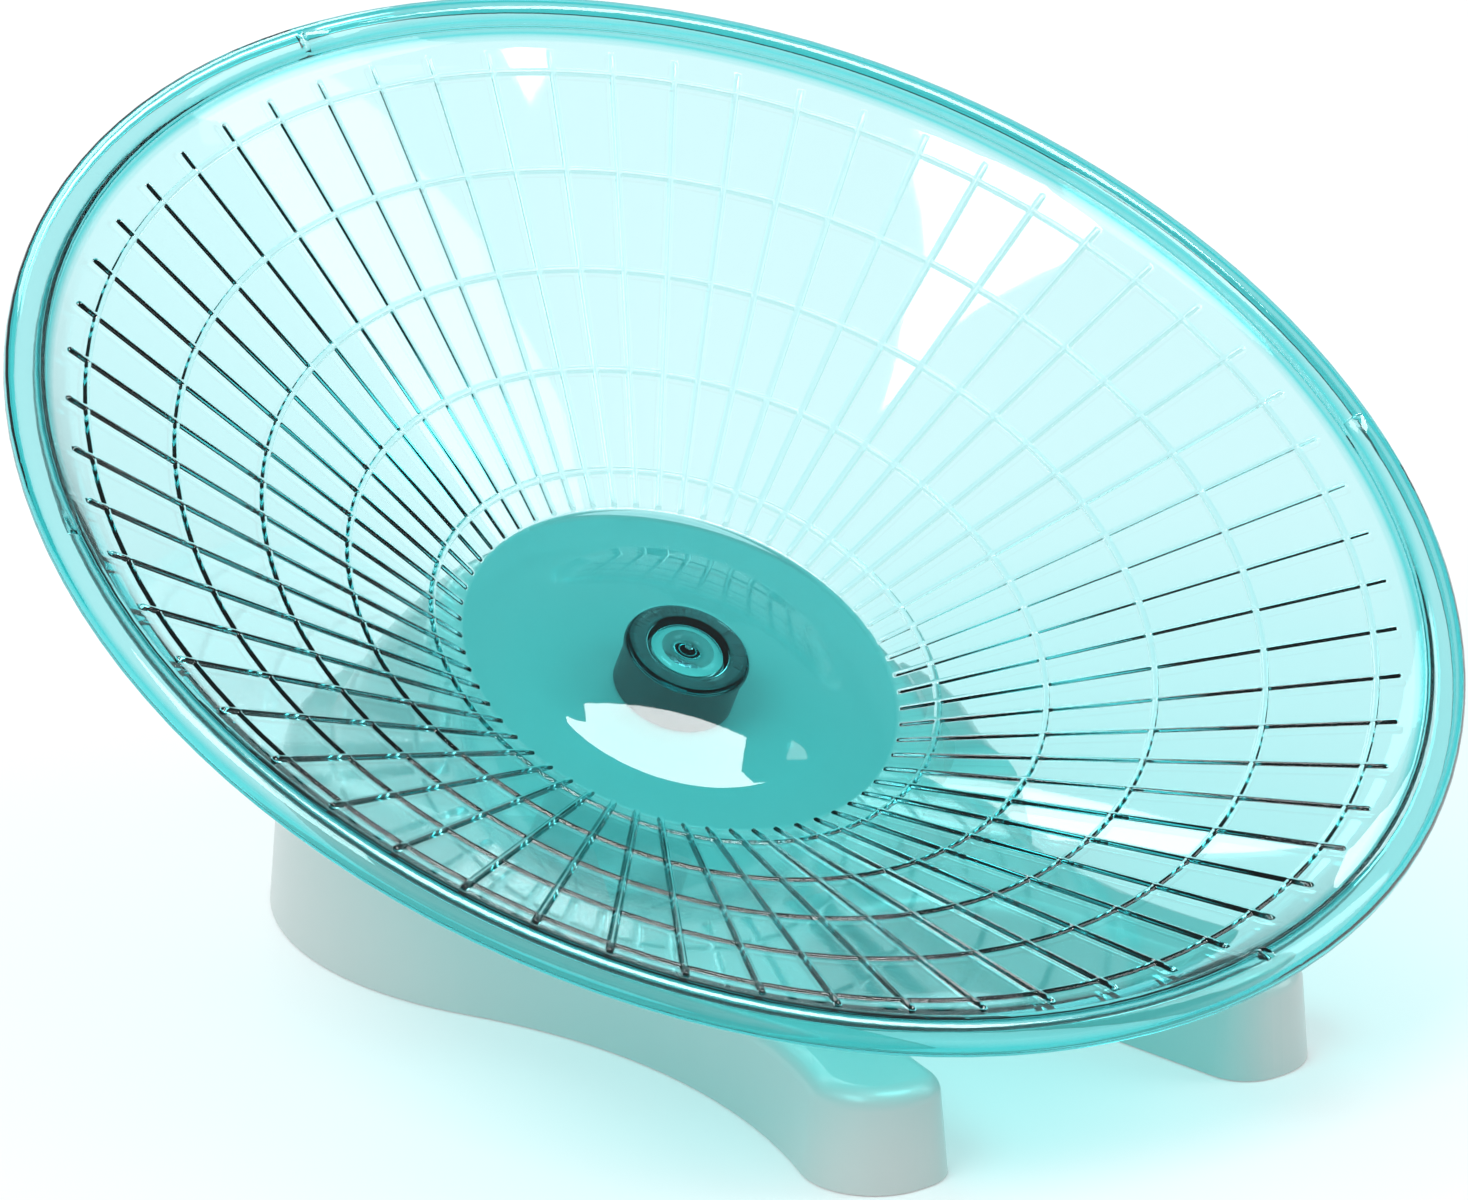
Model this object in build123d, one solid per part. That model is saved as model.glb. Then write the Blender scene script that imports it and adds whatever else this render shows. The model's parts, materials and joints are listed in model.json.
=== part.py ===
"""A flying saucer exercise wheel for hamsters: a clear dish that spins on two ball bearings over a moulded stand.

Millimetres. +Z is up, the dish's low side faces -Y, and the origin lies on the table under the rim's centre.
"""
import os
from math import cos, radians, sin, sqrt, tan

from build123d import *

# Dish, in its own frame: Z along the spin axis, zero on the top face of the flat floor ring
DISH_RADIUS = 150.0
DISH_WALL = 2.0
FLOOR_RADIUS = 46.2
CONE_ANGLE = 28.1
BEAD_RADIUS = 4.0
BEAD_WALL = 1.9
BEAD_LIP = 1.2
DOME_RADIUS = 35.0
DOME_RISE = 6.2
GATE_RADIUS = 0.8
GATE_DROP = 0.4
SEAT_CLEARANCE = 0.7
SEAT_MARGIN = 0.2

# Grip ribs on the running surface
RING_COUNT = 5
RING_FIRST_RADIUS = 53.6
RING_SPACING = 19.85
RING_RISE = 0.6
RIB_COUNT = 60
RIB_RISE = 0.75
BEAD_WIDTH = 1.5
BEAD_CROWN = 0.5
BEAD_SINK = 0.5
RIB_START_MARGIN = 0.9
RIB_END_MARGIN = 4.5
RIB_PHASE = 4.0

# Pairs of small notches across the rim's inner flank
NOTCH_ANGLES = (10.7, 82.1, 190.7, 262.1)
NOTCH_RADIUS = 0.9
NOTCH_DEPTH = 0.7
NOTCH_SPACING = 3.6

# How the dish is carried
TILT = 28.25
FLOOR_HEIGHT = 55.0
PLATFORM_GAP = 7.6

# Hub housing under the dome
HOUSING_RADIUS = 12.7
HOUSING_TOP = 3.1
HOUSING_LIP = 1.0
HOUSING_LIP_CLEARANCE = 0.3
HUB_RUNNING_GAP = 0.5

# Thin section ball bearings
BEARING_BORE_RADIUS = 7.5
BEARING_RADIUS = 10.5
BEARING_WIDTH = 4.0
RACE_WALL = 0.85
BALL_RADIUS = 1.0
BALL_COUNT = 13
GROOVE_CLEARANCE = 0.08
SEAL_WALL = 0.25
SEAL_INSET = 0.05
SEAL_STEP = 0.15
SEAL_GAP = 0.1
CAGE_WALL = 0.9
CAGE_POCKET_CLEARANCE = 0.12
CAGE_WEB = 0.33
CAGE_SKIRT = 0.5
FIT = 0.02

# Snap ring that holds the bearings in the housing
SNAP_RING_WALL = 0.6
SNAP_RING_WIDTH = 1.15
SNAP_GROOVE_DEPTH = 0.4
SNAP_GAP_ANGLE = 40.0

# Spindle, its screw and washer
SPINDLE_TOP = 3.5
SPINDLE_FLANGE_RADIUS = 7.9
SPINDLE_BORE_RADIUS = 5.5
SPINDLE_FLOOR = 3.2
SPINDLE_SOCKET = 1.2
COLLAR_WALL = 0.8
SCREW_RADIUS = 2.0
SCREW_HEAD_RADIUS = 3.8
SCREW_HEAD = 2.4
SCREW_HEAD_EDGE = 0.84
SCREW_TIP_RADIUS = 0.6
SCREW_LENGTH = 16.0
SCREW_CLEARANCE = 0.2
SCREW_FIT = 0.05
CROSS_WIDTH = 1.1
CROSS_SPAN = 4.2
CROSS_DEPTH = 1.4
WASHER_RADIUS = 4.6
WASHER_WALL = 0.8
BOSS_RADIUS = 5.5
BOSS_LENGTH = 15.0

# Stand
SHELL_WALL = 2.5
SHELL_LIFT = 0.3
DRAFT = 5.0
DRUM_RADIUS = 75.4
DRUM_Y = 42.9
WAIST_Y = -51.3
WAIST_HALF = 50.9
WAIST_FRONT_RADIUS = 130.0
LEG_END_Y = -112.0
LEG_OUTER_CORNER = 14.0
LEG_INNER_CORNER = 9.0
LEG_HEIGHT = 20.0
LEG_TOP_ROUND = 4.0
CROTCH_Y = -66.0
CROTCH_RADIUS = 27.0
LEG_SPLAY = 8.9
BODY_HEIGHT = 37.0
BODY_FRONT_Y = -26.0
BODY_FRONT_LEAN = 6.0
BODY_FRONT_ROUND = 12.0
BODY_TOP_ROUND = 6.0
PLATFORM_RADIUS = 54.0
PLATFORM_SHIFT = 3.0
PLATFORM_ROUND = 3.0
FLANK_FOOT_RADIUS = 72.0
FLANK_FOOT_Z = 16.0
FLANK_BULGE = 3.7
CRADLE_RADIUS = 57.0

# Rubber foot pads
PAD_RADIUS = 6.0
PAD_HEIGHT = 2.4
PAD_CHAMFER = 0.5
PAD_BOSS_WALL = 1.8
PAD_EDGE = 17.0
PAD_REAR_SPREAD = 38.0

# Sizes that follow from the ones above
CONE_SLOPE = tan(radians(CONE_ANGLE))
BEAD_CENTRE = DISH_RADIUS - BEAD_RADIUS
BEAD_HEIGHT = (BEAD_CENTRE - BEAD_RADIUS - FLOOR_RADIUS) * CONE_SLOPE
PIVOT_Y = BEAD_HEIGHT * sin(radians(TILT))
DOME_BALL = (DOME_RADIUS**2 + DOME_RISE**2) / (2 * DOME_RISE)
DOME_CENTRE = DOME_RISE - DOME_BALL
PLATFORM_Z = -PLATFORM_GAP
HOUSING_BOTTOM = PLATFORM_Z + HUB_RUNNING_GAP
BEARING_TOP = HOUSING_TOP - HOUSING_LIP
BEARING_BOTTOM = BEARING_TOP - 2 * BEARING_WIDTH
BALL_PITCH = (BEARING_BORE_RADIUS + BEARING_RADIUS) / 2
DISH_FRAME = Plane(
    origin=(0, PIVOT_Y, FLOOR_HEIGHT),
    x_dir=(1, 0, 0),
    z_dir=(0, -sin(radians(TILT)), cos(radians(TILT))),
)


def cone_height(radius):
    """Height of the dish's running surface at a radius on the cone."""
    return (radius - FLOOR_RADIUS) * CONE_SLOPE


def cone_underside(radius):
    """Height of the cone wall's underside at a radius."""
    return cone_height(radius) - DISH_WALL / cos(radians(CONE_ANGLE))


def dome_height(radius, depth=0.0):
    """Height of the dome at a radius, on its top face or a depth below it."""
    return DOME_CENTRE + sqrt((DOME_BALL - depth) ** 2 - radius**2)


def spun(section):
    """A section drawn as (radius, height), turned once about the spin axis."""
    return revolve(Plane.XZ * section, Axis.Z)


def box_section(inner, outer, low, high):
    """A rectangle between two radii and two heights."""
    centre = Pos((inner + outer) / 2, (low + high) / 2)
    return centre * Rectangle(outer - inner, high - low)


def tube(inner, outer, low, high):
    """A plain ring about the spin axis."""
    return spun(box_section(inner, outer, low, high))


def wall_section():
    """The dish's wall, from the centre of the dome out to the lip of the rolled rim."""
    bead_inner = BEAD_CENTRE - BEAD_RADIUS
    lip_inner = DISH_RADIUS - BEAD_WALL
    bead_under = bead_inner + BEAD_WALL
    lip_height = BEAD_HEIGHT - BEAD_LIP
    floor_under = FLOOR_RADIUS + DISH_WALL * (1 / cos(radians(CONE_ANGLE)) - 1) / CONE_SLOPE
    foot_under = sqrt((DOME_BALL - DISH_WALL) ** 2 - (DISH_WALL + DOME_CENTRE) ** 2)
    half = DOME_RADIUS / 2
    outline = [
        ThreePointArc((0, DOME_RISE), (half, dome_height(half)), (DOME_RADIUS, 0)),
        Polyline((DOME_RADIUS, 0), (FLOOR_RADIUS, 0), (bead_inner, BEAD_HEIGHT)),
        ThreePointArc(
            (bead_inner, BEAD_HEIGHT),
            (BEAD_CENTRE, BEAD_HEIGHT + BEAD_RADIUS),
            (DISH_RADIUS, BEAD_HEIGHT),
        ),
        Polyline(
            (DISH_RADIUS, BEAD_HEIGHT),
            (DISH_RADIUS, lip_height),
            (lip_inner, lip_height),
            (lip_inner, BEAD_HEIGHT),
        ),
        ThreePointArc(
            (lip_inner, BEAD_HEIGHT),
            (BEAD_CENTRE, BEAD_HEIGHT + BEAD_RADIUS - BEAD_WALL),
            (bead_under, BEAD_HEIGHT),
        ),
        Polyline(
            (bead_under, BEAD_HEIGHT),
            (bead_under, cone_underside(bead_under)),
            (floor_under, -DISH_WALL),
            (foot_under, -DISH_WALL),
        ),
        ThreePointArc(
            (foot_under, -DISH_WALL),
            (half, dome_height(half, DISH_WALL)),
            (0, DOME_RISE - DISH_WALL),
        ),
        Line((0, DOME_RISE - DISH_WALL), (0, DOME_RISE)),
    ]
    return make_face(outline)


def seat_section():
    """The flat ring under the dome that the hub housing is bonded to, and the small gate mark at its centre."""
    inner = SPINDLE_FLANGE_RADIUS + SEAT_CLEARANCE
    outer = HOUSING_RADIUS - SEAT_MARGIN
    seat = box_section(inner, outer, HOUSING_TOP, dome_height(outer, DISH_WALL / 2))
    underside = DOME_RISE - DISH_WALL
    gate = box_section(0, GATE_RADIUS, underside - GATE_DROP, underside + DISH_WALL / 2)
    return seat + gate


def bead_profile(rise):
    """The section of a grip bead: rounded to three flats, its foot sunk in the wall."""
    half = BEAD_WIDTH / 2
    return make_face(
        Polyline(
            (-half, -BEAD_SINK),
            (half, -BEAD_SINK),
            (half, 0),
            (half * BEAD_CROWN, rise),
            (-half * BEAD_CROWN, rise),
            (-half, 0),
            close=True,
        )
    )


def grip_rib():
    """One radial rib: a low bead with sloping ends that lies along the cone."""
    end_radius = BEAD_CENTRE - BEAD_RADIUS - RIB_END_MARGIN
    start_radius = FLOOR_RADIUS + RIB_START_MARGIN
    start = Vector(start_radius, 0, cone_height(start_radius))
    end = Vector(end_radius, 0, cone_height(end_radius))
    middle = (start + end) * 0.5
    length = (end - start).length
    side = make_face(
        Polyline(
            (-length / 2, -BEAD_SINK),
            (length / 2, -BEAD_SINK),
            (length / 2, 0),
            (length / 2 - RIB_RISE, RIB_RISE),
            (RIB_RISE - length / 2, RIB_RISE),
            (-length / 2, 0),
            close=True,
        )
    )
    along = Plane(origin=middle, x_dir=(end - start), z_dir=(0, -1, 0))
    across = Plane(origin=middle, x_dir=(0, 1, 0), z_dir=(end - start))
    slab = along * extrude(side, BEAD_WIDTH, both=True)
    bar = across * extrude(bead_profile(RIB_RISE), length, both=True)
    return slab & bar


def rim_notches():
    """Pairs of small round notches across the inner flank of the rolled rim."""
    level = BEAD_HEIGHT + BEAD_RADIUS - NOTCH_DEPTH + NOTCH_RADIUS
    rod = Plane.YZ * Circle(NOTCH_RADIUS)
    rod = Pos(BEAD_CENTRE - BEAD_RADIUS, 0, level) * extrude(rod, BEAD_RADIUS)
    notches = []
    for angle in NOTCH_ANGLES:
        for side in (-1, 1):
            turn = angle - 90 + side * degrees_along_rim(NOTCH_SPACING / 2)
            notches.append(Rot(0, 0, turn) * rod)
    return notches


def degrees_along_rim(length):
    """The turn of the dish that moves its rim by a length."""
    return length / radians(DISH_RADIUS)


def dish():
    """The clear dish: one moulding with its rolled rim, ring ribs, radial ribs and hub seat."""
    section = wall_section() + seat_section()
    for number in range(RING_COUNT):
        radius = RING_FIRST_RADIUS + number * RING_SPACING
        section += Pos(radius, cone_height(radius)) * Rot(0, 0, CONE_ANGLE) * bead_profile(RING_RISE)
    rib = grip_rib()
    turns = [RIB_PHASE - 90 + 360 / RIB_COUNT * number for number in range(RIB_COUNT)]
    ribs = [Rot(0, 0, turn) * rib for turn in turns]
    return spun(section).fuse(*ribs).cut(*rim_notches())


def hub_housing():
    """The dark bearing housing bonded under the dome, with a top lip and a groove for the snap ring."""
    bore = BEARING_RADIUS + FIT
    lip = SPINDLE_FLANGE_RADIUS + HOUSING_LIP_CLEARANCE
    body = box_section(bore, HOUSING_RADIUS, HOUSING_BOTTOM, HOUSING_TOP)
    body += box_section(lip, bore, BEARING_TOP, HOUSING_TOP)
    groove_low = BEARING_BOTTOM - SNAP_RING_WALL - FIT
    body -= box_section(bore, bore + SNAP_GROOVE_DEPTH, groove_low, BEARING_BOTTOM)
    return spun(body)


def snap_ring():
    """The open ring in the housing's groove that holds both bearings up."""
    outer = BEARING_RADIUS + FIT + SNAP_GROOVE_DEPTH - FIT
    ring = tube(outer - SNAP_RING_WIDTH, outer, BEARING_BOTTOM - SNAP_RING_WALL, BEARING_BOTTOM)
    reach = 2 * BEARING_RADIUS
    spread = reach * tan(radians(SNAP_GAP_ANGLE / 2))
    gap = make_face(Polyline((0, 0), (reach, spread), (reach, -spread), close=True))
    return ring - Pos(0, 0, BEARING_BOTTOM - SNAP_RING_WALL) * extrude(gap, SNAP_RING_WALL)


def ball_grooves(middle):
    """The round groove that the balls of one bearing run in."""
    return Pos(0, 0, middle) * Torus(BALL_PITCH, BALL_RADIUS + GROOVE_CLEARANCE)


def inner_race(middle):
    """The inner ring of one bearing."""
    half = BEARING_WIDTH / 2
    inner = BEARING_BORE_RADIUS
    return tube(inner, inner + RACE_WALL, middle - half, middle + half) - ball_grooves(middle)


def outer_race(middle):
    """The outer ring of one bearing, stepped at both faces for its seals."""
    half = BEARING_WIDTH / 2
    inner = BEARING_RADIUS - RACE_WALL
    section = box_section(inner, BEARING_RADIUS, middle - half, middle + half)
    step = inner + SEAL_STEP
    depth = SEAL_INSET + SEAL_WALL
    section -= box_section(inner, step, middle + half - depth, middle + half)
    section -= box_section(inner, step, middle - half, middle - half + depth)
    return spun(section) - ball_grooves(middle)


def seal(middle, side):
    """The black seal on one face of a bearing."""
    outer = BEARING_RADIUS - RACE_WALL + SEAL_STEP - FIT
    inner = BEARING_BORE_RADIUS + RACE_WALL + SEAL_GAP
    face = middle + side * (BEARING_WIDTH / 2 - SEAL_INSET)
    inside = face - side * SEAL_WALL
    return tube(inner, outer, min(face, inside), max(face, inside))


def ring_of_balls(radius, middle):
    """One ball of a radius at each place round a bearing."""
    step = 360 / BALL_COUNT
    ball = Pos(BALL_PITCH, 0, middle) * Sphere(radius)
    return [Rot(0, 0, step * number) * ball for number in range(BALL_COUNT)]


def balls(middle):
    """All the balls of one bearing."""
    return Compound(children=ring_of_balls(BALL_RADIUS, middle))


def cage(middle):
    """The crown cage that spaces one bearing's balls: a ring with a web behind the open pockets."""
    pocket = BALL_RADIUS + CAGE_POCKET_CLEARANCE
    low = middle - CAGE_SKIRT
    high = middle + pocket + CAGE_WEB
    ring = tube(BALL_PITCH - CAGE_WALL / 2, BALL_PITCH + CAGE_WALL / 2, low, high)
    return ring.cut(*ring_of_balls(pocket, middle))


def spindle():
    """The light grey tube that the bearings sit on, with a flange over them and a screw hole in its floor."""
    shaft = BEARING_BORE_RADIUS - FIT
    bottom = BEARING_BOTTOM - SPINDLE_SOCKET
    floor = bottom + SPINDLE_FLOOR
    section = box_section(SPINDLE_BORE_RADIUS, shaft, floor, SPINDLE_TOP)
    section += box_section(SPINDLE_BORE_RADIUS, SPINDLE_FLANGE_RADIUS, BEARING_TOP, SPINDLE_TOP)
    section += box_section(SCREW_RADIUS + SCREW_CLEARANCE, shaft, bottom, floor)
    return spun(section)


def spindle_floor_height():
    """Height of the face inside the spindle that the washer lies on."""
    return BEARING_BOTTOM - SPINDLE_SOCKET + SPINDLE_FLOOR


def spindle_washer():
    """The washer under the spindle screw's head."""
    low = spindle_floor_height()
    return tube(SCREW_RADIUS + SCREW_CLEARANCE, WASHER_RADIUS, low, low + WASHER_WALL)


def spindle_screw():
    """The screw down the middle of the spindle, with a round head and a cross recess."""
    seat = spindle_floor_height() + WASHER_WALL
    shoulder = (SCREW_HEAD_RADIUS / sqrt(2), seat + SCREW_HEAD_EDGE + (SCREW_HEAD - SCREW_HEAD_EDGE) / sqrt(2))
    head = make_face(
        [
            Polyline((0, seat + SCREW_HEAD), (0, seat), (SCREW_HEAD_RADIUS, seat)),
            Line((SCREW_HEAD_RADIUS, seat), (SCREW_HEAD_RADIUS, seat + SCREW_HEAD_EDGE)),
            ThreePointArc((SCREW_HEAD_RADIUS, seat + SCREW_HEAD_EDGE), shoulder, (0, seat + SCREW_HEAD)),
        ]
    )
    tip = seat - SCREW_LENGTH
    shank = make_face(
        Polyline(
            (0, seat),
            (SCREW_RADIUS, seat),
            (SCREW_RADIUS, tip + SCREW_RADIUS),
            (SCREW_TIP_RADIUS, tip),
            (0, tip),
            close=True,
        )
    )
    bar = Pos(0, 0, seat + SCREW_HEAD) * Box(CROSS_SPAN, CROSS_WIDTH, 2 * CROSS_DEPTH)
    return spun(head + shank) - (bar + Rot(0, 0, 90) * bar)


def waist_rear_radius():
    """Radius that lets the waist's rear arc run smoothly into the drum."""
    reach = DRUM_Y - WAIST_Y
    return (reach**2 + WAIST_HALF**2 - DRUM_RADIUS**2) / (2 * (DRUM_RADIUS - WAIST_HALF))


def waist_arc(centre, radius, start, end):
    """An arc of the outline from one point to another that bows towards the middle of the stand."""
    middle = (start + end) * 0.5 - centre
    return ThreePointArc(start, centre + middle.normalized() * radius, end)


def crotch_plan(inset):
    """The splayed gap between the legs, with a round end."""
    radius = CROTCH_RADIUS + inset
    splay = radians(LEG_SPLAY)
    mouth_y = LEG_END_Y - CROTCH_RADIUS
    mouth_half = radius / cos(splay) + (CROTCH_Y - mouth_y) * tan(splay)
    side_x = radius * cos(splay)
    side_y = CROTCH_Y + radius * sin(splay)
    wedge = make_face(
        Polyline(
            (side_x, side_y),
            (mouth_half, mouth_y),
            (-mouth_half, mouth_y),
            (-side_x, side_y),
            close=True,
        )
    )
    return wedge + Pos(0, CROTCH_Y) * Circle(radius)


def neck_outline(inset, side):
    """The waist's arcs on one side, from the end of a leg back to the drum."""
    rear = waist_rear_radius()
    rear_centre = Vector(side * (WAIST_HALF + rear), WAIST_Y)
    front_centre = Vector(side * (WAIST_HALF + WAIST_FRONT_RADIUS), WAIST_Y)
    drum = Vector(0, DRUM_Y)
    front = WAIST_FRONT_RADIUS + inset
    low = LEG_END_Y + inset
    end_x = WAIST_HALF + WAIST_FRONT_RADIUS - sqrt(front**2 - (WAIST_Y - low) ** 2)
    end = Vector(side * end_x, low)
    narrow = Vector(side * (WAIST_HALF - inset), WAIST_Y)
    tangent = drum + (rear_centre - drum).normalized() * (DRUM_RADIUS - inset)
    arcs = [
        waist_arc(front_centre, front, end, narrow),
        waist_arc(rear_centre, rear + inset, narrow, tangent),
        Line(tangent, drum),
    ]
    return end, arcs


def stand_plan(inset):
    """The stand's outline seen from above, drawn in by an inset: a drum, a waist and two front legs."""
    right_end, right = neck_outline(inset, 1)
    left_end, left = neck_outline(inset, -1)
    plan = make_face([*right, *left, Line(left_end, right_end)]) - crotch_plan(inset)
    ends = plan.vertices().group_by(Axis.Y)[0].sort_by(Axis.X)
    plan = fillet([ends[0], ends[-1]], LEG_OUTER_CORNER - inset)
    corner = WAIST_HALF - LEG_INNER_CORNER
    ends = plan.vertices().group_by(Axis.Y)[0].filter_by(lambda v: abs(v.X) < corner)
    plan = fillet(ends, LEG_INNER_CORNER - inset)
    return plan + Pos(0, DRUM_Y) * Circle(DRUM_RADIUS - inset)


def side_profile(inset):
    """The drum's part of the stand seen from the side, with its steep rounded front over the legs."""
    reach = 2 * DRUM_RADIUS
    foot = BODY_FRONT_Y + inset
    brow = foot + BODY_FRONT_LEAN
    outline = make_face(
        Polyline((foot, 0), (reach, 0), (reach, BODY_HEIGHT), (brow, BODY_HEIGHT), (foot, LEG_HEIGHT), close=True)
    )
    corner = outline.vertices().filter_by(lambda v: abs(v.X - brow) < FIT)
    return extrude(Plane.YZ * fillet(corner, BODY_FRONT_ROUND - inset), reach, both=True)


def raised_plan(inset, height):
    """The stand's plan raised with draft to a height, drawn in by an inset."""
    rise = height - inset - SHELL_LIFT
    return Pos(0, 0, SHELL_LIFT) * extrude(stand_plan(inset), rise, taper=DRAFT)


def rounded_block(height, edge_round):
    """The stand's plan raised to a height, its top edge rounded."""
    block = raised_plan(0.0, height)
    rim = block.faces().sort_by(Axis.Z)[-1].outer_wire().edges()
    return fillet(rim, edge_round)


def pedestal(inset):
    """The flank that rises from the drum to the tilted round platform under the dish."""
    foot = Plane((0, DRUM_Y, FLANK_FOOT_Z - 2 * inset)) * Circle(FLANK_FOOT_RADIUS - inset)
    top = DISH_FRAME * Pos(0, -PLATFORM_SHIFT, PLATFORM_Z - inset) * Circle(PLATFORM_RADIUS - inset)
    middle = (foot.center() + top.center()) * 0.5
    radius = (FLANK_FOOT_RADIUS + PLATFORM_RADIUS) / 2 + FLANK_BULGE - inset
    bulge = Pos(*middle) * Rot(TILT / 2, 0, 0) * Circle(radius)
    return loft([foot, bulge, top])


def rounded_pedestal():
    """The pedestal with its platform's edge rounded."""
    form = pedestal(0.0)
    platform = form.faces().sort_by(Axis.Z)[-1]
    return fillet(platform.outer_wire().edges(), PLATFORM_ROUND)


def cradle(inset):
    """The round hollow above the platform that keeps the stand clear of the dish."""
    radius = CRADLE_RADIUS + inset
    low = PLATFORM_Z - inset
    return DISH_FRAME * Pos(0, -PLATFORM_SHIFT, low) * extrude(Circle(radius), PLATFORM_RADIUS)


def stand_body():
    """The stand's whole form, without its hollow."""
    body = rounded_block(BODY_HEIGHT, BODY_TOP_ROUND) & side_profile(0.0)
    return body + rounded_block(LEG_HEIGHT, LEG_TOP_ROUND) + rounded_pedestal() - cradle(0.0)


def stand_hollow():
    """The space inside the stand, one wall in from its form."""
    hollow = raised_plan(SHELL_WALL, BODY_HEIGHT) & side_profile(SHELL_WALL)
    return hollow + raised_plan(SHELL_WALL, LEG_HEIGHT) + pedestal(SHELL_WALL) - cradle(SHELL_WALL)


def pad_places():
    """Where the four foot pads sit, by name: at the leg ends' rounding centres, and near the drum's rear edge."""
    front_y = LEG_END_Y + LEG_OUTER_CORNER
    reach = sqrt((WAIST_FRONT_RADIUS + LEG_OUTER_CORNER) ** 2 - (WAIST_Y - front_y) ** 2)
    front_x = WAIST_HALF + WAIST_FRONT_RADIUS - reach
    rear_x = (DRUM_RADIUS - PAD_EDGE) * sin(radians(PAD_REAR_SPREAD))
    rear_y = DRUM_Y + (DRUM_RADIUS - PAD_EDGE) * cos(radians(PAD_REAR_SPREAD))
    return {
        "front_left_pad": (-front_x, front_y),
        "front_right_pad": (front_x, front_y),
        "rear_left_pad": (-rear_x, rear_y),
        "rear_right_pad": (rear_x, rear_y),
    }


def base_shell():
    """The light grey stand: a thin shell, open below, with a boss for the screw and bosses for the pads."""
    cavity = stand_hollow()
    level = BEARING_BOTTOM - SPINDLE_SOCKET
    boss_low = PLATFORM_Z - BOSS_LENGTH
    shell = stand_body() - cavity
    shell += DISH_FRAME * tube(0, BOSS_RADIUS, boss_low, PLATFORM_Z)
    shell += DISH_FRAME * tube(0, BEARING_BORE_RADIUS + COLLAR_WALL, PLATFORM_Z - SHELL_WALL / 2, BEARING_BOTTOM)
    shell -= DISH_FRAME * tube(0, BEARING_BORE_RADIUS + FIT, level, BEARING_BOTTOM)
    shell -= DISH_FRAME * tube(0, SCREW_RADIUS + SCREW_FIT, boss_low, level)
    for x, y in pad_places().values():
        column = Pos(x, y, 0) * extrude(Circle(PAD_RADIUS + PAD_BOSS_WALL), BODY_HEIGHT + LEG_HEIGHT)
        shell += column & cavity
        shell -= Pos(x, y, 0) * extrude(Circle(PAD_RADIUS + FIT), PAD_HEIGHT)
    return shell


def foot_pad(x, y):
    """A round rubber pad with a chamfered foot."""
    pad = Pos(x, y, 0) * extrude(Circle(PAD_RADIUS), PAD_HEIGHT)
    return chamfer(pad.edges().group_by(Axis.Z)[0], PAD_CHAMFER)


def bearing(name, middle):
    """The separate pieces of one ball bearing, by name."""
    return {
        name + "_inner_race": inner_race(middle),
        name + "_outer_race": outer_race(middle),
        name + "_balls": balls(middle),
        name + "_cage": cage(middle),
        name + "_top_seal": seal(middle, 1),
        name + "_bottom_seal": seal(middle, -1),
    }


def pieces():
    """Every separate piece of the wheel, by name."""
    hub = {
        "dish": dish(),
        "hub_housing": hub_housing(),
        "retaining_ring": snap_ring(),
        "spindle": spindle(),
        "spindle_washer": spindle_washer(),
        "spindle_screw": spindle_screw(),
    }
    hub.update(bearing("upper", BEARING_TOP - BEARING_WIDTH / 2))
    hub.update(bearing("lower", BEARING_BOTTOM + BEARING_WIDTH / 2))
    placed = {name: DISH_FRAME * shape for name, shape in hub.items()}
    placed["base_shell"] = base_shell()
    for name, (x, y) in pad_places().items():
        placed[name] = foot_pad(x, y)
    return placed


def main():
    os.makedirs("parts", exist_ok=True)
    for name, shape in pieces().items():
        export_step(shape, "parts/" + name + ".step")


if __name__ == "__main__":
    main()
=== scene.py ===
"""A flying saucer exercise wheel for hamsters: a clear teal ribbed dish over a light grey moulded stand."""
import json
import math

import bmesh
import bpy
from mathutils import Matrix, Vector


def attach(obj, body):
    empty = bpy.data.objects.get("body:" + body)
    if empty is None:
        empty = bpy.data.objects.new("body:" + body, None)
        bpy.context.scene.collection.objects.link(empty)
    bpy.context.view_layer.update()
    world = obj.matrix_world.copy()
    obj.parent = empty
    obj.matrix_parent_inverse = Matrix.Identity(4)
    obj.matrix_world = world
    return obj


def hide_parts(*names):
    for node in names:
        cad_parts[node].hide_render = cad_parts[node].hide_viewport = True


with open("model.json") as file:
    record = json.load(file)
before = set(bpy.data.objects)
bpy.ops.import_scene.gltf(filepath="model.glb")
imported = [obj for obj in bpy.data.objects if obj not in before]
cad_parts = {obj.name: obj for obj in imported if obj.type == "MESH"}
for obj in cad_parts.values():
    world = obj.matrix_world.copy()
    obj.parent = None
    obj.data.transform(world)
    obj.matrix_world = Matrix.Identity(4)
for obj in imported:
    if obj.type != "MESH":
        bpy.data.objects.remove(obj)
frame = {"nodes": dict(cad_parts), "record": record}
bpy.ops.object.select_all(action="DESELECT")
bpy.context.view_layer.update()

MM = 0.001

# Sizes of the dish in millimetres, in its own frame: Z along the spin axis, zero on the floor ring
TILT = math.radians(28.25)
CONE = math.tan(math.radians(28.1))
FLOOR_RADIUS = 46.2
DISH_RADIUS = 150.0
DISH_WALL = 2.0
BEAD_RADIUS = 4.0
BEAD_WALL = 1.9
BEAD_LIP = 1.2
BEAD_CENTRE = DISH_RADIUS - BEAD_RADIUS
BEAD_INNER = BEAD_CENTRE - BEAD_RADIUS
BEAD_HEIGHT = (BEAD_INNER - FLOOR_RADIUS) * CONE
DOME_RADIUS = 35.0
DOME_RISE = 6.2
DOME_BALL = (DOME_RADIUS**2 + DOME_RISE**2) / (2 * DOME_RISE)
DOME_CENTRE = DOME_RISE - DOME_BALL
SEAT_INNER = 8.6
SEAT_OUTER = 12.5
SEAT_LOW = 3.1
GATE_RADIUS = 0.8
GATE_DROP = 0.4
RINGS = [53.6 + 19.85 * k for k in range(5)]
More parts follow.
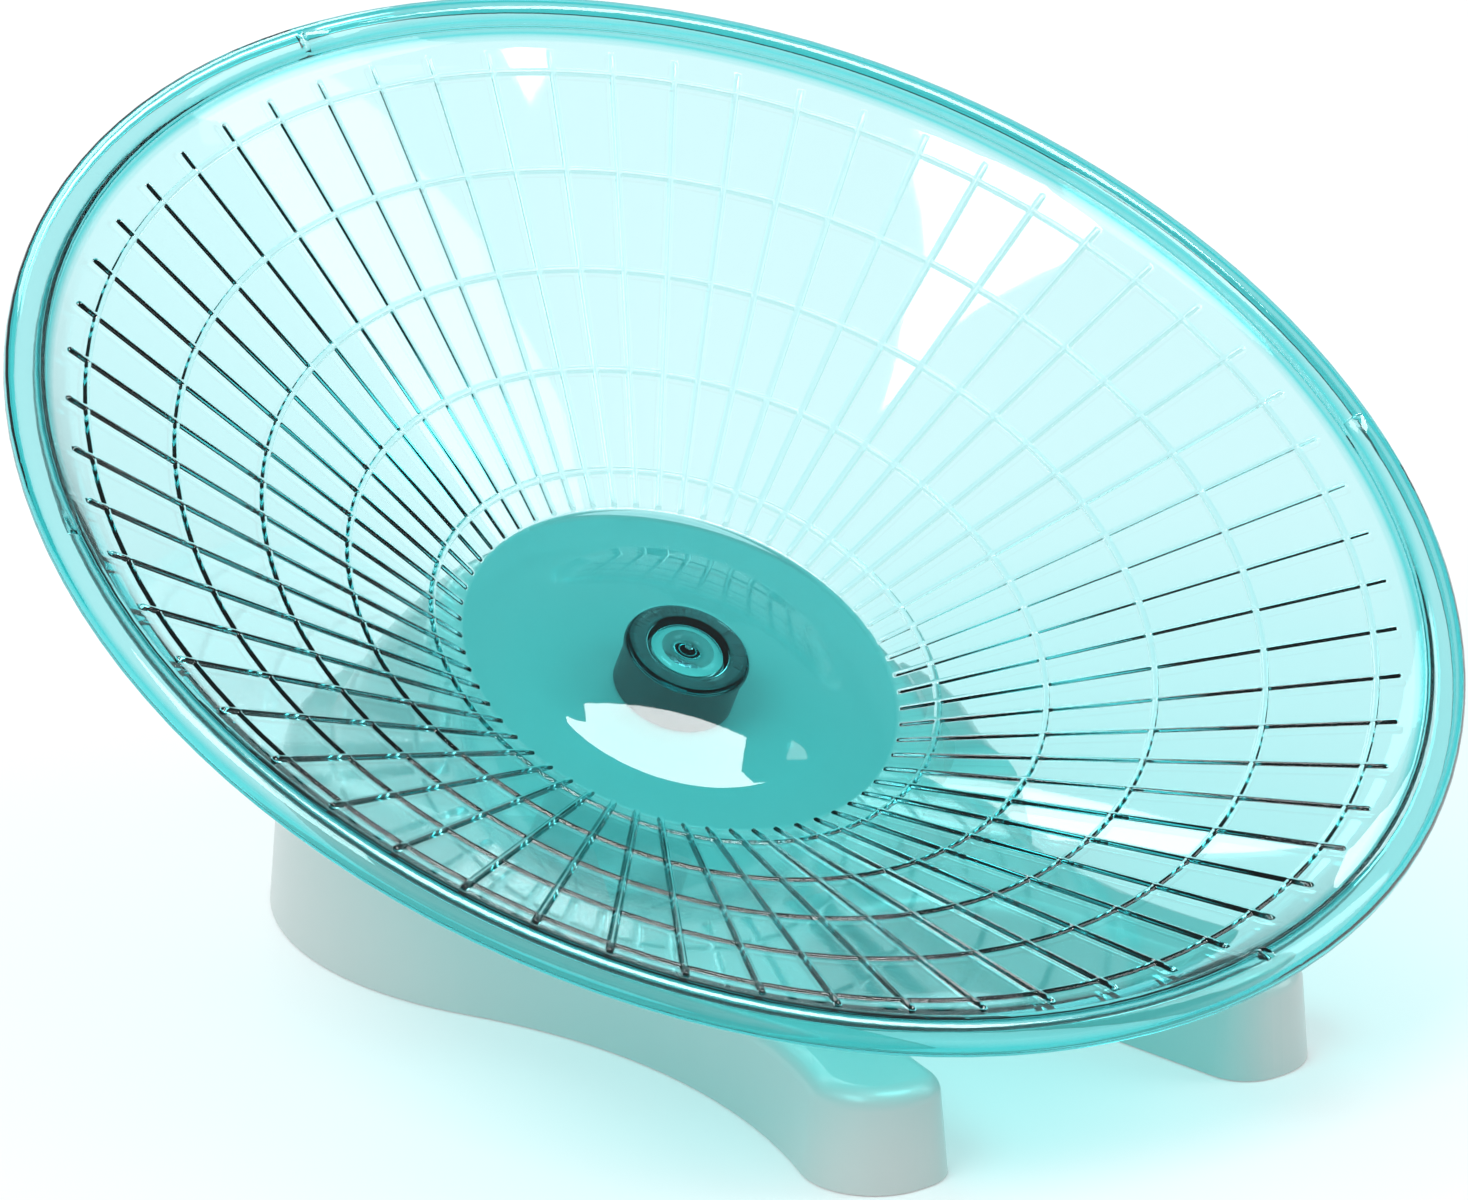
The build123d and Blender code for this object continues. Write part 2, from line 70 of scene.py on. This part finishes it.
RING_RISE = 0.6
RIB_COUNT = 60
RIB_RISE = 0.75
RIB_HALF = 0.75
RIB_START = 47.2
RIB_END = 136.7
RIB_PHASE = 4.0
ACROSS = (-0.95, -0.78, -0.68, -0.36, 0.0, 0.36, 0.68, 0.78, 0.95)
NOTCHES = (10.7, 82.1, 190.7, 262.1)
PIVOT = Vector((0.0, BEAD_HEIGHT * math.sin(TILT), 55.0)) * MM

# Radii in metres at which painted shade deepens the dish's colour: before the rim, on its inner step, at its
# edge, over the hub
RIM_PAINTED_SHADE_RADIUS = 0.1405
STEP_PAINTED_SHADE_RADIUS = 0.1424
EDGE_PAINTED_SHADE_RADIUS = 0.1491
HUB_PAINTED_SHADE_RADIUS = 0.047

DISH_FRAME = Matrix.Translation(PIVOT) @ Matrix.Rotation(TILT, 4, "X")


# Materials


class Value:
    """A shader socket that takes part in plain expressions."""

    def __init__(self, material, socket):
        self.material = material
        self.socket = socket

    def _with(self, operation, other, swap=False):
        node = self.material.tree.nodes.new("ShaderNodeMath")
        node.operation = operation
        pair = (other, self) if swap else (self, other)
        for slot, item in zip(node.inputs, pair):
            self.material.feed(slot, item)
        return Value(self.material, node.outputs[0])

    def __add__(self, other):
        return self._with("ADD", other)

    def __radd__(self, other):
        return self._with("ADD", other, True)

    def __sub__(self, other):
        return self._with("SUBTRACT", other)

    def __rsub__(self, other):
        return self._with("SUBTRACT", other, True)

    def __mul__(self, other):
        return self._with("MULTIPLY", other)

    def __rmul__(self, other):
        return self._with("MULTIPLY", other, True)

    def __pow__(self, other):
        return self._with("POWER", other)

    def low(self, other):
        return self._with("MINIMUM", other)

    def high(self, other):
        return self._with("MAXIMUM", other)

    def size(self):
        return self._with("ABSOLUTE", 0.0)


class Surface:
    """A material around one Principled shader, with its coordinates in millimetres."""

    def __init__(self, name, colour, roughness, metallic=0.0, ior=1.5):
        self.data = bpy.data.materials.new(name)
        self.data.use_nodes = True
        self.tree = self.data.node_tree
        self.shader = self.tree.nodes["Principled BSDF"]
        self.output = self.tree.nodes["Material Output"]
        self.set("Base Color", (*colour, 1.0))
        self.set("Roughness", roughness)
        self.set("Metallic", metallic)
        self.set("IOR", ior)
        self.colour = colour
        self.place = self.node("ShaderNodeTexCoord", "Object")

    def feed(self, slot, item):
        if isinstance(item, Value):
            self.tree.links.new(item.socket, slot)
        else:
            slot.default_value = item

    def set(self, name, item):
        self.feed(self.shader.inputs[name], item)

    def node(self, kind, output, props=None, **inputs):
        node = self.tree.nodes.new(kind)
        for key, value in (props or {}).items():
            setattr(node, key, value)
        for key, value in inputs.items():
            self.feed(node.inputs[key.replace("_", " ")], value)
        return Value(self, node.outputs[output])

    def noise(self, size, detail=2.0, stretch=(1, 1, 1)):
        """Noise between 0 and 1 with features of a size in millimetres."""
        scale = self.node("ShaderNodeMapping", "Vector", Vector=self.place, Scale=stretch)
        return self.node("ShaderNodeTexNoise", 0, Vector=scale, Scale=1000.0 / size, Detail=detail)

    def mix_colours(self, factor, first, second):
        """Sets the colour to a mix of two, by a factor."""
        node = self.tree.nodes.new("ShaderNodeMix")
        node.data_type = "RGBA"
        self.feed(node.inputs[0], factor)
        node.inputs[6].default_value = (*first, 1.0)
        node.inputs[7].default_value = (*second, 1.0)
        self.set("Base Color", Value(self, node.outputs[2]))

    def vary(self, amount, size):
        """Lets the colour drift a little from place to place."""
        dark = tuple(c * (1 - amount) for c in self.colour)
        light = tuple(min(1.0, c * (1 + amount)) for c in self.colour)
        self.mix_colours(self.noise(size, 3.0), dark, light)

    def bump(self, height, strength, depth):
        bump = self.node("ShaderNodeBump", "Normal", Height=height, Strength=strength, Distance=depth * MM)
        self.set("Normal", bump)


def clear_teal():
    """Clear tinted plastic: it darkens with the length of plastic that light crosses, and its colour also carries
    painted shade on the rim bead and over the hub.
    """
    m = Surface("clear_teal_plastic", (1.0, 1.0, 1.0), 0.03, ior=1.5)
    m.set("Transmission Weight", 1.0)
    axis = (0.0, -math.sin(TILT), math.cos(TILT))
    arm = m.node("ShaderNodeVectorMath", 0, {"operation": "SUBTRACT"})
    m.feed(arm.socket.node.inputs[0], m.place)
    m.feed(arm.socket.node.inputs[1], PIVOT)
    height = m.node("ShaderNodeVectorMath", 1, {"operation": "DOT_PRODUCT"})
    m.feed(height.socket.node.inputs[0], arm)
    m.feed(height.socket.node.inputs[1], axis)
    reach = m.node("ShaderNodeVectorMath", 1, {"operation": "LENGTH"})
    m.feed(reach.socket.node.inputs[0], arm)
    radius = (reach * reach - height * height) ** 0.5
    # Painted shade: the colour deepens to dark teal on the rim bead, its inner step and its outer edge, standing
    # in for the dark bands that the bead's internal reflections give
    rim = ((radius - RIM_PAINTED_SHADE_RADIUS) * 800.0).high(0.0).low(0.4)
    step = (1.0 - (radius - STEP_PAINTED_SHADE_RADIUS).size() * 900.0).high(0.0)
    edge = ((radius - EDGE_PAINTED_SHADE_RADIUS) * 1500.0).high(0.0).low(1.0)
    # Painted shade: the colour deepens to teal over the hub, standing in for the teal light that reaches the
    # stand through the dish
    middle = ((HUB_PAINTED_SHADE_RADIUS - radius) * 400.0).high(0.0).low(0.45)
    m.mix_colours((rim + step * 0.6 + edge * 0.6 + middle).low(1.0), (1.0, 1.0, 1.0), (0.04, 0.66, 0.67))
    m.set("Roughness", 0.012 + 0.03 * m.noise(35.0, 3.0))
    m.bump(m.noise(9.0, 2.0), 0.05, 0.05)
    tint = m.tree.nodes.new("ShaderNodeBsdfTransparent")
    tint.inputs[0].default_value = (0.52, 0.94, 0.93, 1.0)
    path = m.tree.nodes.new("ShaderNodeLightPath")
    shadow = Value(m, path.outputs["Is Shadow Ray"])
    diffuse = Value(m, path.outputs["Is Diffuse Ray"])
    mix = m.tree.nodes.new("ShaderNodeMixShader")
    m.feed(mix.inputs[0], shadow.high(diffuse))
    m.tree.links.new(m.shader.outputs[0], mix.inputs[1])
    m.tree.links.new(tint.outputs[0], mix.inputs[2])
    m.tree.links.new(mix.outputs[0], m.output.inputs["Surface"])
    volume = m.tree.nodes.new("ShaderNodeVolumeAbsorption")
    volume.inputs["Color"].default_value = (0.0, 0.84, 0.86, 1.0)
    volume.inputs["Density"].default_value = 200.0
    m.tree.links.new(volume.outputs[0], m.output.inputs["Volume"])
    return m.data


def grey_plastic():
    """The light grey moulding, with a soft sheen and the faint unevenness of a moulded face."""
    m = Surface("light_grey_plastic", (0.56, 0.60, 0.58), 0.3)
    m.vary(0.015, 30.0)
    m.set("Roughness", 0.26 + 0.08 * m.noise(14.0, 3.0))
    m.bump(0.7 * m.noise(22.0, 2.0) + 0.3 * m.noise(0.8, 2.0), 0.12, 0.25)
    m.set("Coat Weight", 0.15)
    m.set("Coat Roughness", 0.12)
    return m.data


def dark_plastic():
    m = Surface("dark_grey_plastic", (0.035, 0.04, 0.043), 0.38)
    m.vary(0.08, 6.0)
    m.set("Roughness", 0.34 + 0.12 * m.noise(3.0, 3.0))
    m.bump(m.noise(0.4, 2.0), 0.15, 0.05)
    return m.data


def steel(name, colour, roughness, grain):
    """Steel with a turned grain and small changes in its shine."""
    m = Surface(name, colour, roughness, metallic=1.0)
    m.vary(0.05, 2.5)
    m.set("Roughness", roughness - 0.05 + 0.12 * m.noise(0.9, 4.0))
    m.bump(m.noise(grain, 3.0, (1.0, 1.0, 6.0)), 0.12, 0.03)
    return m.data


def rubber():
    m = Surface("black_rubber", (0.018, 0.018, 0.019), 0.75)
    m.vary(0.2, 3.0)
    m.set("Roughness", 0.68 + 0.2 * m.noise(1.5, 3.0))
    m.bump(m.noise(0.35, 3.0), 0.3, 0.08)
    return m.data


def cage_plastic():
    m = Surface("cage_plastic", (0.62, 0.56, 0.43), 0.45)
    m.vary(0.04, 1.5)
    m.set("Roughness", 0.4 + 0.12 * m.noise(1.2, 2.0))
    m.bump(m.noise(0.3, 2.0), 0.12, 0.03)
    return m.data


# The dish


def cone_height(r):
    return (r - FLOOR_RADIUS) * CONE


def dome_height(r, depth=0.0):
    return DOME_CENTRE + math.sqrt((DOME_BALL - depth) ** 2 - r * r)


def bead(distance, half, rise):
    """Height of a half round bead at a distance from its middle line."""
    share = abs(distance) / half
    return rise * math.sqrt(1 - share * share) if share < 1 else 0.0


def column_angles(r):
    """The angles of the mesh's columns at a radius: close across each rib, wide between ribs."""
    wide = max(r, FLOOR_RADIUS - 2)
    step = 2 * math.pi / RIB_COUNT
    angles = []
    for k in range(RIB_COUNT):
        middle = math.radians(RIB_PHASE - 90) + step * k
        angles += [middle + x / wide for x in ACROSS]
        angles.append(middle + step / 2)
    return angles


def rib_height(r, x):
    """Height of a radial rib at a radius and a distance beside its middle line."""
    along = max(RIB_START - r, 0.0, r - RIB_END)
    return bead(math.hypot(along, x), RIB_HALF, RIB_RISE)


def running_rows():
    """The radii of the mesh's rows up the running surface: close across each ring rib."""
    rows = [FLOOR_RADIUS, 46.45, 46.65, 47.2, 50.0]
    for ring in RINGS:
        rows += [ring + x * math.cos(math.radians(28.1)) for x in ACROSS]
        rows += [ring + 6.6, ring + 13.2]
    rows = [r for r in rows if r < RIB_END]
    return rows + [RIB_END, 137.2, 137.45, 137.7, BEAD_INNER - 0.35]


def lerp(a, b, count):
    return [tuple(p + (q - p) * k / count for p, q in zip(a, b)) for k in range(count)]


def arc(cx, cz, radius, start, end, count):
    """Points on an arc, from an angle to an angle in degrees."""
    turns = [math.radians(start + (end - start) * k / count) for k in range(count + 1)]
    return [(cx + radius * math.cos(t), cz + radius * math.sin(t)) for t in turns]


def wall_profile():
    """The section of the dish from the top of the dome round to its underside.

    Each point is (radius, height, is running surface)."""
    top = [(r, dome_height(r), False) for r in (0.6, 4, 8, 12, 16, 20, 24, 28, 31.5, 34.2)]
    top += [(35.0, 0.12, False), (35.8, 0.0, False), (40.0, 0.0, False), (45.6, 0.0, False)]
    top += [(r, cone_height(r), True) for r in running_rows()]
    foot = [(BEAD_INNER - 0.1, cone_height(BEAD_INNER) + 0.05)]
    over = arc(BEAD_CENTRE, BEAD_HEIGHT, BEAD_RADIUS, 176, 2, 16)
    lip = BEAD_HEIGHT - BEAD_LIP
    edge = [
        (DISH_RADIUS, lip + 0.4),
        (DISH_RADIUS - 0.12, lip + 0.12),
        (DISH_RADIUS - 0.4, lip),
        (DISH_RADIUS - BEAD_WALL + 0.4, lip),
        (DISH_RADIUS - BEAD_WALL + 0.12, lip + 0.12),
        (DISH_RADIUS - BEAD_WALL, lip + 0.4),
    ]
    under = arc(BEAD_CENTRE, BEAD_HEIGHT, BEAD_RADIUS - BEAD_WALL, 0, 180, 10)
    thick = DISH_WALL / math.cos(math.radians(28.1))
    corner = BEAD_INNER + BEAD_WALL
    side = [(corner, BEAD_HEIGHT - 0.8), (corner - 0.1, cone_height(corner) - thick + 0.6)]
    side += [(corner - 0.7, cone_height(corner - 0.7) - thick)]
    back = [(r, cone_height(r) - thick) for r in (135, 115, 95, 75, 55, 50)]
    floor = FLOOR_RADIUS + 0.6
    back += [(floor, cone_height(floor) - thick + 0.05), (floor - 0.8, -DISH_WALL), (36.2, -DISH_WALL)]
    back += [(r, dome_height(r, DISH_WALL)) for r in (34.0, 29, 24, 19, 13.6)]
    back += [(SEAT_OUTER + 0.12, dome_height(SEAT_OUTER, DISH_WALL)), (SEAT_OUTER, SEAT_LOW + 0.1)]
    back += [(SEAT_OUTER - 0.1, SEAT_LOW), (SEAT_INNER + 0.1, SEAT_LOW), (SEAT_INNER, SEAT_LOW + 0.1)]
    back += [(SEAT_INNER - 0.1, dome_height(SEAT_INNER, DISH_WALL)), (5.0, dome_height(5.0, DISH_WALL))]
    gate = DOME_RISE - DISH_WALL
    back += [(GATE_RADIUS, gate), (GATE_RADIUS - 0.05, gate - GATE_DROP), (0.3, gate - GATE_DROP)]
    rest = [(r, z, False) for r, z in foot + over + edge + under + side + back]
    return top + rest


def notch_depth(r, z, angle):
    """How far a pair of notches sinks the rim's inner flank at a place."""
    depth = 0.0
    for place in NOTCHES:
        for side in (-1.8, 1.8):
            turn = angle - math.radians(place - 90)
            turn = (turn + math.pi) % (2 * math.pi) - math.pi
            beside = turn * r - side
            depth = max(depth, bead(beside, 0.8, 0.6))
    return depth


def saucer():
    """The whole dish as one closed mesh, its ribs and rings raised from the running surface."""
    mesh = bpy.data.meshes.new("saucer")
    bm = bmesh.new()
    normal = (-math.sin(math.radians(28.1)), math.cos(math.radians(28.1)))
    rings = []
    for r, z, running in wall_profile():
        angles = column_angles(r)
        row = []
        for index, angle in enumerate(angles):
            rr, zz = r, z
            if running:
                beside = (*ACROSS, 9.0)[index % (len(ACROSS) + 1)]
                lift = rib_height(r, beside)
                near = min(abs(r - ring) for ring in RINGS) / math.cos(math.radians(28.1))
                lift = max(lift, bead(near, 0.75, RING_RISE))
                rr, zz = r + lift * normal[0], z + lift * normal[1]
            elif BEAD_INNER - 0.05 < r < BEAD_CENTRE and z > BEAD_HEIGHT + 1.5:
                zz -= notch_depth(r, z, angle)
            point = Vector((rr * math.cos(angle), rr * math.sin(angle), zz)) * MM
            row.append(bm.verts.new(DISH_FRAME @ point))
        rings.append(row)
    count = len(rings[0])
    for upper, lower in zip(rings, rings[1:]):
        for k in range(count):
            bm.faces.new((upper[k], lower[k], lower[(k + 1) % count], upper[(k + 1) % count]))
    for row, height, flip in ((rings[0], DOME_RISE, False), (rings[-1], DOME_RISE - DISH_WALL - GATE_DROP, True)):
        centre = bm.verts.new(DISH_FRAME @ (Vector((0, 0, height)) * MM))
        for k in range(count):
            pair = (row[k], row[(k + 1) % count])
            bm.faces.new((centre, *(pair if not flip else reversed(pair))))
    bm.normal_update()
    bm.to_mesh(mesh)
    bm.free()
    for polygon in mesh.polygons:
        polygon.use_smooth = True
    dish = bpy.data.objects.new("saucer", mesh)
    bpy.context.scene.collection.objects.link(dish)
    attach(dish, "saucer")
    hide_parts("dish")
    return dish


# Dressing


def dress():
    """Gives each CAD node the material of its slot."""
    looks = {
        "clear_teal_plastic": clear_teal(),
        "light_grey_plastic": grey_plastic(),
        "dark_grey_plastic": dark_plastic(),
        "bearing_steel": steel("bearing_steel", (0.58, 0.59, 0.6), 0.22, 0.15),
        "spring_steel": steel("spring_steel", (0.2, 0.2, 0.21), 0.35, 0.2),
        "zinc_steel": steel("zinc_steel", (0.62, 0.64, 0.68), 0.3, 0.25),
        "black_rubber": rubber(),
        "cage_plastic": cage_plastic(),
    }
    for part in frame["record"]["subparts"]:
        node = frame["nodes"][part["node"]]
        node.data.materials.clear()
        node.data.materials.append(looks[part["material_slot"]])
    saucer().data.materials.append(looks["clear_teal_plastic"])


# Studio


def area_light(name, place, target, size, power):
    data = bpy.data.lights.new(name, "AREA")
    data.shape = "RECTANGLE"
    data.size, data.size_y = size
    data.energy = power
    light = bpy.data.objects.new(name, data)
    light.location = place
    light.rotation_euler = (Vector(target) - Vector(place)).to_track_quat("-Z", "Y").to_euler()
    bpy.context.scene.collection.objects.link(light)
    return light


def studio():
    """A pale floor, a white surround and soft lamps."""
    mesh = bpy.data.meshes.new("floor")
    mesh.from_pydata([(-6, -6, 0), (6, -6, 0), (6, 6, 0), (-6, 6, 0)], [], [(0, 1, 2, 3)])
    floor = bpy.data.objects.new("floor", mesh)
    bpy.context.scene.collection.objects.link(floor)
    m = Surface("floor_paint", (0.62, 0.62, 0.62), 0.9)
    m.vary(0.004, 300.0)
    m.set("Specular IOR Level", 0.0)
    path = m.tree.nodes.new("ShaderNodeLightPath")
    camera_ray, glossy_ray, clear_ray = (
        Value(m, path.outputs[kind]) for kind in ("Is Camera Ray", "Is Glossy Ray", "Is Transmission Ray")
    )
    m.set("Emission Color", camera_ray.high(glossy_ray).high(clear_ray))
    m.set("Emission Strength", 0.30)
    mesh.materials.append(m.data)
    world = bpy.data.worlds.new("surround")
    bpy.context.scene.world = world
    world.use_nodes = True
    tree = world.node_tree
    background = tree.nodes["Background"]
    background.inputs["Color"].default_value = (1.0, 1.0, 1.0, 1.0)
    background.inputs["Strength"].default_value = 1.0
    dim = tree.nodes.new("ShaderNodeBackground")
    dim.inputs["Color"].default_value = (0.93, 0.97, 1.0, 1.0)
    dim.inputs["Strength"].default_value = 0.72
    path = tree.nodes.new("ShaderNodeLightPath")
    seen = tree.nodes.new("ShaderNodeMath")
    seen.operation = "MAXIMUM"
    tree.links.new(path.outputs["Is Camera Ray"], seen.inputs[0])
    tree.links.new(path.outputs["Is Transmission Ray"], seen.inputs[1])
    shine = tree.nodes.new("ShaderNodeBackground")
    shine.inputs["Color"].default_value = (0.80, 0.97, 1.0, 1.0)
    shine.inputs["Strength"].default_value = 0.28
    glossy = tree.nodes.new("ShaderNodeMixShader")
    tree.links.new(path.outputs["Is Glossy Ray"], glossy.inputs[0])
    tree.links.new(dim.outputs[0], glossy.inputs[1])
    tree.links.new(shine.outputs[0], glossy.inputs[2])
    mix = tree.nodes.new("ShaderNodeMixShader")
    tree.links.new(seen.outputs[0], mix.inputs[0])
    tree.links.new(glossy.outputs[0], mix.inputs[1])
    tree.links.new(background.outputs[0], mix.inputs[2])
    tree.links.new(mix.outputs[0], tree.nodes["World Output"].inputs["Surface"])
    middle = (0, 0, 0.06)
    box = area_light("dome_softbox", (0.36, -0.42, 1.27), (0.0, 0.0, 0.06), (0.86, 0.44), 17)
    box.rotation_euler = (0.0, 0.0, math.radians(-27))
    box.visible_diffuse = False
    box.visible_transmission = False
    area_light("key", (-1.1, -0.3, 1.3), middle, (0.9, 0.7), 14)
    area_light("fill", (1.3, -0.9, 0.9), middle, (0.8, 1.0), 8)
    area_light("back", (0.3, 1.4, 1.1), middle, (1.2, 0.5), 9)


def camera():
    """The photograph's viewpoint."""
    data = bpy.data.cameras.new("camera")
    data.lens = 136.15
    data.sensor_width = 36.0
    data.clip_start = 0.05
    eye = bpy.data.objects.new("camera", data)
    right = Vector((0.80599, -0.59193, 0.0))
    up = Vector((0.18880, 0.25708, 0.94777))
    back = Vector((-0.56101, -0.76389, 0.31896))
    turn = Matrix((right, up, back)).transposed().to_4x4()
    eye.matrix_world = Matrix.Translation((-0.6246, -0.8442, 0.4289)) @ turn
    bpy.context.scene.collection.objects.link(eye)
    bpy.context.scene.camera = eye


dress()
studio()
camera()
bpy.context.scene.view_settings.view_transform = "Standard"
